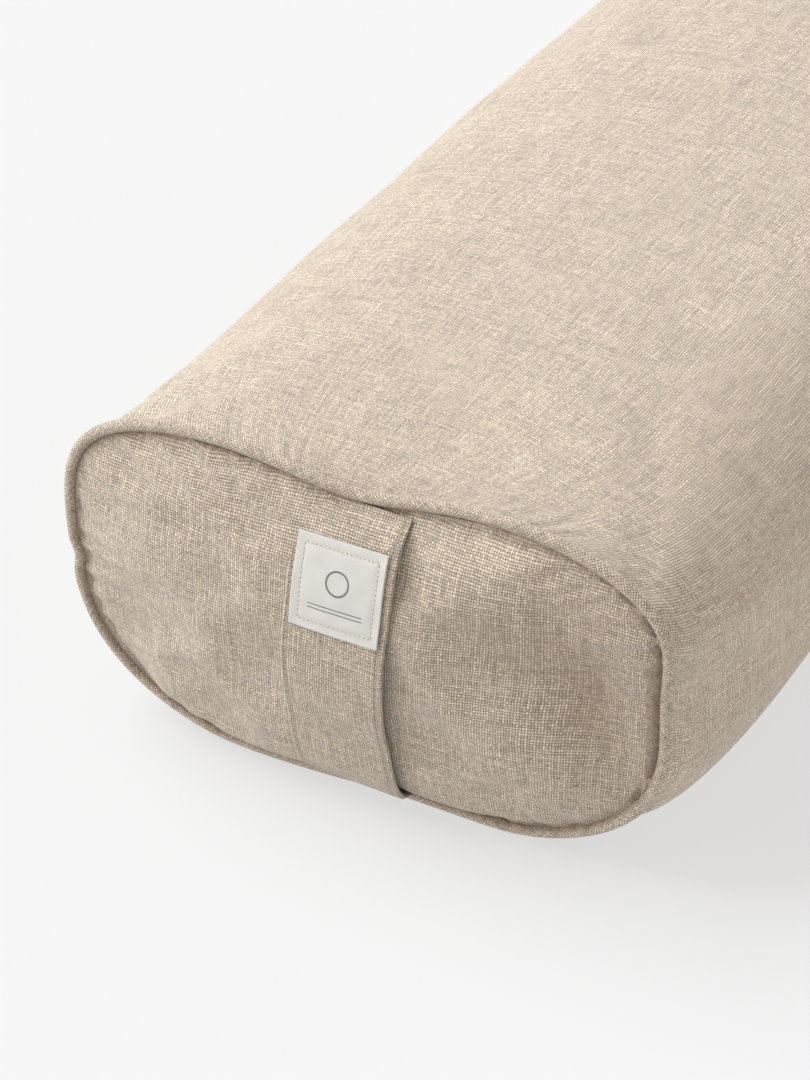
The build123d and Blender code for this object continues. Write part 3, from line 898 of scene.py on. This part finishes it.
def build_filling():
    """The filling: one soft closed form inside the inner bag."""
    columns, caps = 160, 16
    t = np.linspace(0, 2 * pi, columns, endpoint=False)
    front, rear = ([inner_cap(t, np.full(columns, k / caps), side, 0.0014) for k in range(1, caps)]
                   for side in (-1, 1))
    tube, _, _ = shell_tube(FILL_INSET, columns)
    stack = front + list(tube) + rear[::-1]
    verts = np.concatenate(stack)
    verts = verts + 0.00021 * smooth_noise(verts, 91, 0.03)[:, None] * np.array([1.0, 0.3, 1.0])
    tips = np.array([stack[0].mean(0), stack[-1].mean(0)])
    faces = [tuple(f) for f in grid_faces(len(stack), columns, wrap=True)]
    last = (len(stack) - 1) * columns
    n = len(verts)
    faces += [(n, (k + 1) % columns, k) for k in range(columns)]
    faces += [(n + 1, last + k, last + (k + 1) % columns) for k in range(columns)]
    obj = make_mesh("filling_form", np.concatenate([verts, tips]), faces)
    recalc(obj)
    return obj


# ---------------------------------------------------------------- materials
def dimmed(colour, *factors):
    """A colour times one factor, or times one factor per channel."""
    factors = factors if len(factors) == 3 else factors * 3
    return tuple(c * k for c, k in zip(colour, factors))


class Shader:
    """Short calls for building one material's nodes."""

    def __init__(self, name, rough=0.85, sheen=0.0, specular=0.25, metallic=0.0):
        self.material = bpy.data.materials.new(name)
        self.material.use_nodes = True
        self.tree = self.material.node_tree
        self.bsdf = self.tree.nodes["Principled BSDF"]
        self.uniform(**{"Roughness": rough, "Sheen Weight": sheen, "Sheen Roughness": 0.6,
                        "Specular IOR Level": specular, "Metallic": metallic})

    def uniform(self, **values):
        for socket, value in values.items():
            self.bsdf.inputs[socket].default_value = value

    def node(self, kind, **inputs):
        node = self.tree.nodes.new("ShaderNode" + kind)
        for socket, value in inputs.items():
            self.link(value, node.inputs[socket])
        return node

    def link(self, value, socket):
        if isinstance(value, bpy.types.NodeSocket):
            self.tree.links.new(value, socket)
        else:
            socket.default_value = value

    def math(self, operation, *values, clamp=False):
        node = self.node("Math")
        node.operation = operation
        node.use_clamp = clamp
        for socket, value in zip(node.inputs, values):
            self.link(value, socket)
        return node.outputs[0]

    def times(self, first, *others):
        for other in others:
            first = self.math("MULTIPLY", first, other)
        return first

    def plus(self, first, second):
        return self.math("ADD", first, second)

    def minus(self, first, second):
        return self.math("SUBTRACT", first, second)

    def apart(self, vector):
        return self.node("SeparateXYZ", Vector=vector).outputs

    def cloth(self):
        """Cloth coordinates in metres, across and along."""
        node = self.node("UVMap")
        node.uv_map = "cloth"
        return self.apart(node.outputs[0])[:2]

    def place(self):
        return self.node("TexCoord").outputs["Object"]

    def join(self, x, y, z=0.0):
        return self.node("CombineXYZ", X=x, Y=y, Z=z).outputs[0]

    def noise(self, vector, scale, detail=2.0, rough=0.5):
        return self.node("TexNoise", Scale=scale, Detail=detail, Roughness=rough, Vector=vector).outputs[0]

    def mix(self, share, first, second):
        node = self.node("Mix")
        node.data_type = "RGBA"
        self.link(share, node.inputs[0])
        for value, socket in ((first, node.inputs[6]), (second, node.inputs[7])):
            self.link((*value, 1.0) if isinstance(value, tuple) else value, socket)
        return node.outputs[2]

    def ramp(self, value, low, high, to_low=0.0, to_high=1.0):
        node = self.node("MapRange")
        for socket, number in zip(node.inputs, (value, low, high, to_low, to_high)):
            self.link(number, socket)
        return node.outputs[0]

    def scale(self, colour, factor):
        node = self.node("VectorMath")
        node.operation = "SCALE"
        self.link(colour, node.inputs[0])
        self.link(factor, node.inputs["Scale"])
        return node.outputs[0]

    def bump(self, height, distance):
        return self.node("Bump", Distance=distance, Strength=1.0, Height=height).outputs[0]

    def finish(self, colour, normal=None, rough=None):
        self.link((*colour, 1.0) if isinstance(colour, tuple) else colour, self.bsdf.inputs["Base Color"])
        for value, socket in ((normal, "Normal"), (rough, "Roughness")):
            if value is not None:
                self.link(value, self.bsdf.inputs[socket])
        return self.material


# strongest mix of the painted shade into the cloth colour
PAINTED_SHADE_SHARE = 0.75


def woven(name, warp, weft, pitch=(0.00125, 0.0014), slub=1.0, turn=0.0, dark=0.72, depth=0.00045, sheen=0.28,
          wander=0.30, rough=0.9, patch=0.035, fleck=0.20):
    """Plain-woven cloth: threads pass over and under, with slubs, heathered colour, painted shade in the gaps
    between threads and painted shade from the shade attribute.
    """
    sh = Shader(name, rough=rough, sheen=sheen, specular=0.12)
    u, v = sh.cloth()
    if turn:
        c, s = cos(turn), sin(turn)
        u, v = sh.plus(sh.times(u, c), sh.times(v, s)), sh.minus(sh.times(v, c), sh.times(u, s))

    # threads: phase across each set, wandering a little, and which set lies on top
    drift_u = sh.noise(sh.join(u, v), 95.0)
    drift_v = sh.noise(sh.join(v, u, 3.0), 95.0)
    a = sh.plus(sh.times(u, pi / pitch[0]), sh.ramp(drift_u, 0, 1, -wander * 6, wander * 6))
    b = sh.plus(sh.times(v, pi / pitch[1]), sh.ramp(drift_v, 0, 1, -wander * 6, wander * 6))
    cos_a, cos_b = sh.math("COSINE", a), sh.math("COSINE", b)
    over = sh.times(sh.ramp(sh.times(cos_a, cos_b), -1, 1), 0.75)

    # unevenness of single threads: long along each thread, narrow across it
    def along_threads(stretch, fineness, offsets, detail, rough_noise):
        across = (sh.join(sh.times(u, fineness / pitch[0]), sh.times(v, stretch), offsets[0]),
                  sh.join(sh.times(u, stretch), sh.times(v, fineness / pitch[1]), offsets[1]))
        return [sh.noise(vector, 1.0, detail, rough_noise) for vector in across]

    thick_a, thick_b = (sh.ramp(noise, 0.25, 0.75, 1 - 0.35 * slub, 1 + 0.30 * slub)
                        for noise in along_threads(55.0, 1.0, (0.0, 7.0), 2.0, 0.6))
    tone_a, tone_b = along_threads(26.0, 0.9, (11.0, 17.0), 3.0, 0.65)

    high_a, high_b = (sh.times(sh.math("POWER", sh.math("ABSOLUTE", wave), 0.8), share, thick)
                      for wave, share, thick in ((cos_a, sh.plus(over, 0.25), thick_a),
                                                 (cos_b, sh.minus(1.0, over), thick_b)))
    height = sh.math("MAXIMUM", high_a, high_b)
    on_top = sh.math("GREATER_THAN", high_a, high_b)

    # colour: warp or weft, painted shade in the gaps between threads, then painted shade from the stored
    # attribute
    # painted shade: the gaps between threads are darkened by the share dark and warmed
    gap_shade_colour = dimmed(weft, *(k * (1 - dark) for k in (1.0, 0.86, 0.74)))
    colour = sh.mix(sh.ramp(height, 0.28, 0.80), gap_shade_colour, sh.mix(on_top, weft, warp))
    # painted shade: mixed towards a dark brown of the weft in seams, folds, dents and under the handle
    painted_shade = sh.node("Attribute")
    painted_shade.attribute_name = "painted_shade"
    colour = sh.mix(sh.times(painted_shade.outputs["Fac"], PAINTED_SHADE_SHARE), colour, dimmed(weft, 0.42, 0.36, 0.31))

    # brightness: thread by thread, crossing by crossing, fibres and broad clouds
    shade = sh.plus(sh.times(on_top, sh.minus(tone_a, tone_b)), tone_b)
    crossing = [sh.math("ROUND", sh.math("DIVIDE", phase, pi)) for phase in (a, b)]
    cell = sh.node("TexWhiteNoise")
    cell.noise_dimensions = "2D"
    sh.link(sh.join(*crossing), cell.inputs["Vector"])
    fibre = sh.noise(sh.join(u, v, 5.0), 2400.0, 2.0, 0.6)
    cloud = sh.noise(sh.join(u, v, 9.0), 14.0, 3.0, 0.55)
    factor = sh.times(sh.ramp(shade, 0.3, 0.7, 0.66, 1.26),
                      sh.ramp(cell.outputs[0], 0, 1, 1 - 1.2 * fleck, 1 + 0.55 * fleck),
                      sh.ramp(fibre, 0.2, 0.8, 0.94, 1.06), sh.ramp(cloud, 0.3, 0.7, 1 - patch, 1 + patch))

    fuzz = sh.noise(sh.join(u, v, 1.0), 900.0, 3.0, 0.7)
    normal = sh.bump(sh.plus(height, sh.times(fuzz, 0.35)), depth)
    roughness = sh.ramp(height, 0.0, 1.0, min(rough + 0.08, 1.0), rough - 0.06)
    return sh.finish(sh.scale(colour, factor), normal, roughness)


def grained(sh, grain, first, second, span, depth, rough=None):
    """Finish a plain material whose colour and surface follow one noise; span is its in and out range."""
    colour = sh.scale(sh.mix(grain, first, second), sh.ramp(grain, *span))
    return sh.finish(colour, sh.bump(grain, depth), rough)


def thread_material(name, colour):
    sh = Shader(name, rough=0.6, sheen=0.2, specular=0.3)
    fibre = sh.noise(sh.place(), 1500.0, 2.0, 0.6)
    return grained(sh, fibre, dimmed(colour, 0.9), colour, (0.2, 0.8, 0.85, 1.1), 0.00008)


def metal_material(name, colour):
    sh = Shader(name, rough=0.32, metallic=1.0, specular=0.5)
    wear = sh.noise(sh.place(), 420.0, 4.0, 0.6)
    return grained(sh, wear, colour, dimmed(colour, 1.15), (0.3, 0.7, 0.9, 1.08), 0.00003,
                   sh.ramp(wear, 0.3, 0.7, 0.24, 0.42))


def nylon_material(name, colour):
    sh = Shader(name, rough=0.42, specular=0.45)
    grain = sh.noise(sh.place(), 2600.0)
    return grained(sh, grain, dimmed(colour, 0.92), colour, (0.2, 0.8, 0.92, 1.06), 0.00003)


def fibre_material(name, colour, scale=260.0):
    sh = Shader(name, rough=0.95, sheen=0.4, specular=0.1)
    tuft = sh.noise(sh.place(), scale, 5.0, 0.7)
    return grained(sh, tuft, colour, colour, (0.2, 0.8, 0.8, 1.08), 0.0012)


def tape_material(name, colour):
    """Zip tape: a fine herringbone that needs no cloth coordinates."""
    sh = Shader(name, rough=0.85, sheen=0.15, specular=0.2)
    _, y, z = sh.apart(sh.place())
    rib = sh.math("SINE", sh.times(y, 2 * pi / 0.0007))
    wale = sh.math("SINE", sh.plus(sh.times(z, 2 * pi / 0.0012), rib))
    height = sh.plus(sh.times(rib, 0.4), sh.times(wale, 0.6))
    return sh.finish(sh.scale(sh.mix(0.5, colour, colour), sh.ramp(height, -1, 1, 0.72, 1.08)),
                     sh.bump(height, 0.00012))


def cotton_material(name, colour, pitch=0.0006):
    return woven(name, colour, dimmed(colour, 0.97), pitch=(pitch, pitch * 1.08), slub=0.4, dark=0.25,
                 depth=0.00012, wander=0.1, patch=0.03, fleck=0.05)


RING_UP, RING_RADIUS = 0.0030, 0.0056  # height of the printed ring's middle above the label's, and its radius
RULES_DOWN, RULE_END = (0.0092, 0.0112), 0.0140
INK = (0.13, 0.125, 0.125)


def label_material(name):
    """Cream cotton with a plain printed ring over a short double rule."""
    sh = Shader(name, rough=0.82, sheen=0.15, specular=0.15)
    u, v = sh.cloth()
    a = sh.math("COSINE", sh.times(u, pi / 0.00042))
    b = sh.math("COSINE", sh.times(v, pi / 0.00048))
    weave = sh.math("MAXIMUM", sh.math("ABSOLUTE", a), sh.math("ABSOLUTE", b))
    weave = sh.plus(sh.times(weave, 0.6), sh.times(sh.times(a, b), 0.4))
    cloud = sh.noise(sh.join(u, v, 2.0), 160.0, 3.0, 0.6)
    cream = sh.mix(cloud, (0.61, 0.59, 0.55), (0.68, 0.665, 0.625))

    up = sh.minus(v, RING_UP)
    radius = sh.math("SQRT", sh.plus(sh.times(u, u), sh.times(up, up)))
    ring = sh.ramp(sh.math("ABSOLUTE", sh.minus(radius, RING_RADIUS)), 0.00042, 0.00056, 1.0, 0.0)
    rule = sh.math("MINIMUM", *(sh.math("ABSOLUTE", sh.plus(v, down)) for down in RULES_DOWN))
    rule = sh.ramp(rule, 0.00022, 0.00034, 1.0, 0.0)
    ends = sh.ramp(sh.math("ABSOLUTE", u), RULE_END, RULE_END + 0.0001, 1.0, 0.0)
    ink = sh.math("MAXIMUM", ring, sh.times(rule, ends), clamp=True)
    ink = sh.times(ink, sh.ramp(sh.noise(sh.join(u, v, 6.0), 2200.0), 0.25, 0.6, 0.80, 0.96))
    colour = sh.mix(ink, sh.scale(cream, sh.ramp(weave, 0.1, 1.0, 0.86, 1.04)), INK)
    return sh.finish(colour, sh.bump(sh.plus(weave, sh.times(cloud, 0.5)), 0.00009))


def paper(name, colour, glow):
    """Plain studio paper that gives off some light of its own."""
    sh = Shader(name, rough=1.0, specular=0.0)
    sh.uniform(**{"Emission Color": (1.0, 1.0, 1.0, 1.0), "Emission Strength": glow})
    return sh.finish(colour)


def paint(obj, material):
    """Give a piece its one material."""
    obj.data.materials.clear()
    obj.data.materials.append(material)


def cover_piece(piece, material, node):
    """A piece that moves with the cover and stands for one CAD node."""
    paint(piece, material)
    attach(piece, "cover")
    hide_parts(node)


WARP = (0.835, 0.718, 0.580)
WEFT = (0.780, 0.663, 0.528)
linen = woven("linen_body", WARP, WEFT)
linen_end = woven("linen_end", dimmed(WARP, 0.97), dimmed(WEFT, 0.96))
# the piping's linen is dimmed a little below the body's as painted shade
linen_bias = woven("linen_bias", dimmed(WARP, 0.93), dimmed(WEFT, 0.90), turn=radians(45),
                   pitch=(0.00115, 0.00125))
linen_strap = woven("linen_strap", dimmed(WARP, 0.90), dimmed(WEFT, 0.88))
thread = thread_material("linen_thread", (0.60, 0.51, 0.41))
label_thread = thread_material("label_thread", (0.62, 0.55, 0.43))
cotton = cotton_material("inner_cotton", (0.78, 0.74, 0.66))
cord_cotton = fibre_material("cord_cotton", (0.80, 0.77, 0.70), 900.0)
fill_fibre = fibre_material("fill_fibre", (0.82, 0.80, 0.76))
nylon = nylon_material("coil_nylon", (0.50, 0.42, 0.33))
tape = tape_material("zip_tape", (0.50, 0.42, 0.33))
nickel = metal_material("satin_nickel", (0.62, 0.60, 0.56))
label_cloth = label_material("label_cloth")

# ---------------------------------------------------------------- build
body, body_points = build_body()
thicken(body, CLOTH)
cover_piece(body, linen, "body_panel")

for end_name, side in (("front", -1), ("rear", 1)):
    end = build_end(f"cover_{end_name}_end", side)
    thicken(end, CLOTH)
    cover_piece(end, linen_end, f"{end_name}_end_panel")

allowance = [(-STITCH_LINE - 0.0002, -ALLOWANCE_HALF), (-STITCH_LINE - 0.0002, ALLOWANCE_HALF),
             (-ALLOWANCE_END, ALLOWANCE_HALF), (-ALLOWANCE_END, -ALLOWANCE_HALF)]
for end_name, side in (("front", -1), ("rear", 1)):
    casing = ring_tube(f"piping_{end_name}", side,
                       [circle(PIPING_RADIUS, 18), circle(PIPING_RADIUS - PIPING_WALL, 14), allowance])
    cover_piece(casing, linen_bias, f"{end_name}_piping_casing")
    strands = ring_tube(f"cord_{end_name}", side, [circle(CORD_RADIUS, 12)])
    cover_piece(strands, cord_cotton, f"{end_name}_piping_cord")

for piece, node in inner_pieces():
    cover_piece(piece, cotton, node)
filling = build_filling()
cover_piece(filling, fill_fibre, "filling")

strap = build_strap()
paint(strap, linen_strap)
strap_thread = strap_stitches()
paint(strap_thread, thread)
label = build_label()
paint(label, label_cloth)
label_sewing = label_stitches()
paint(label_sewing, label_thread)
for piece, node in ((strap, "carry_handle"), (strap_thread, "handle_edge_stitching"),
                    (label, "fabric_label"), (label_sewing, "label_stitching")):
    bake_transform(piece)
    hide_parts(node)

for name, node, direction in (("coil_upper", "zip_teeth_upper", 1), ("coil_lower", "zip_teeth_lower", -1)):
    row = coil(name, node, direction)
    cover_piece(row, nylon, node)
zip_thread = zip_stitches(body_points)
cover_piece(zip_thread, thread, "zip_topstitching")

# the CAD solids that stay as they are
for nodes, material in ((("zip_tape_upper", "zip_tape_lower"), tape),
                        (("zip_top_stop", "zip_bottom_stop", "zip_slider", "zip_pull"), nickel),
                        (("inner_case_closing_stitches",), label_thread)):
    for node in nodes:
        for slot in bpy.data.objects[node].material_slots:
            slot.material = material

# ---------------------------------------------------------------- floor, light and camera
FLOOR_HALF = 10.0
BACKDROP_RADIUS = 9.0
BACKDROP_TOP = 3.5
BACKDROP_SIDES = 96
corners = [(FLOOR_HALF * x, FLOOR_HALF * y, 0) for x, y in ((-1, -1), (1, -1), (1, 1), (-1, 1))]
floor = make_mesh("floor", corners, [(0, 1, 2, 3)], smooth=False)
paint(floor, paper("floor_paper", (0.21, 0.21, 0.21), 0.61))

# seen only behind the object in low views
around = np.linspace(0, 2 * pi, BACKDROP_SIDES, endpoint=False)
foot = np.stack([BACKDROP_RADIUS * np.cos(around), BACKDROP_RADIUS * np.sin(around)], -1)
rings = np.stack([np.concatenate([foot, np.full((BACKDROP_SIDES, 1), z)], 1) for z in (-0.01, BACKDROP_TOP)])
backdrop = make_mesh("backdrop", rings, grid_faces(2, BACKDROP_SIDES, wrap=True))
backdrop.visible_shadow = False
paint(backdrop, paper("backdrop_paper", (0.0, 0.0, 0.0), 0.92))

world = bpy.data.worlds.new("studio")
bpy.context.scene.world = world
world.use_nodes = True
world.node_tree.nodes["Background"].inputs["Color"].default_value = (1.0, 0.955, 0.905, 1.0)
world.node_tree.nodes["Background"].inputs["Strength"].default_value = 0.41
bpy.context.scene.view_settings.view_transform = "Standard"
bpy.context.scene.view_settings.look = "None"


def add_sun(name, energy, size, colour, towards):
    """A distant soft light; towards points from the object to the light."""
    data = bpy.data.lights.new(name, "SUN")
    data.energy = energy
    data.angle = radians(size)
    data.color = colour
    lamp = bpy.data.objects.new(name, data)
    lamp.rotation_euler = Vector(towards).to_track_quat("Z", "Y").to_euler()
    bpy.context.collection.objects.link(lamp)


add_sun("key", 3.9, 50, (0.985, 1.0, 1.035), (-0.68, -0.02, 0.74))
add_sun("front", 1.05, 50, (1.0, 0.985, 0.955), (-0.72, -0.60, 0.28))
add_sun("fill", 0.60, 60, (1.0, 0.97, 0.92), (0.9, 0.25, 0.45))

CAMERA_AZIMUTH = radians(29.95)
CAMERA_ELEVATION = radians(35.76)
CAMERA_DISTANCE = 1.648
CAMERA_TARGET = Vector((0.0225, -SEAM_Y, 0.1505))
camera_data = bpy.data.cameras.new("photo_view")
camera_data.sensor_fit = "VERTICAL"
camera_data.sensor_height = 36.0
camera_data.lens = 125.0
camera = bpy.data.objects.new("photo_view", camera_data)
back = Vector((sin(CAMERA_AZIMUTH) * cos(CAMERA_ELEVATION), -cos(CAMERA_AZIMUTH) * cos(CAMERA_ELEVATION),
               sin(CAMERA_ELEVATION)))
camera.location = CAMERA_TARGET + back * CAMERA_DISTANCE
camera.rotation_euler = back.to_track_quat("Z", "Y").to_euler()
camera_data.clip_start = 0.05
bpy.context.collection.objects.link(camera)
bpy.context.scene.camera = camera
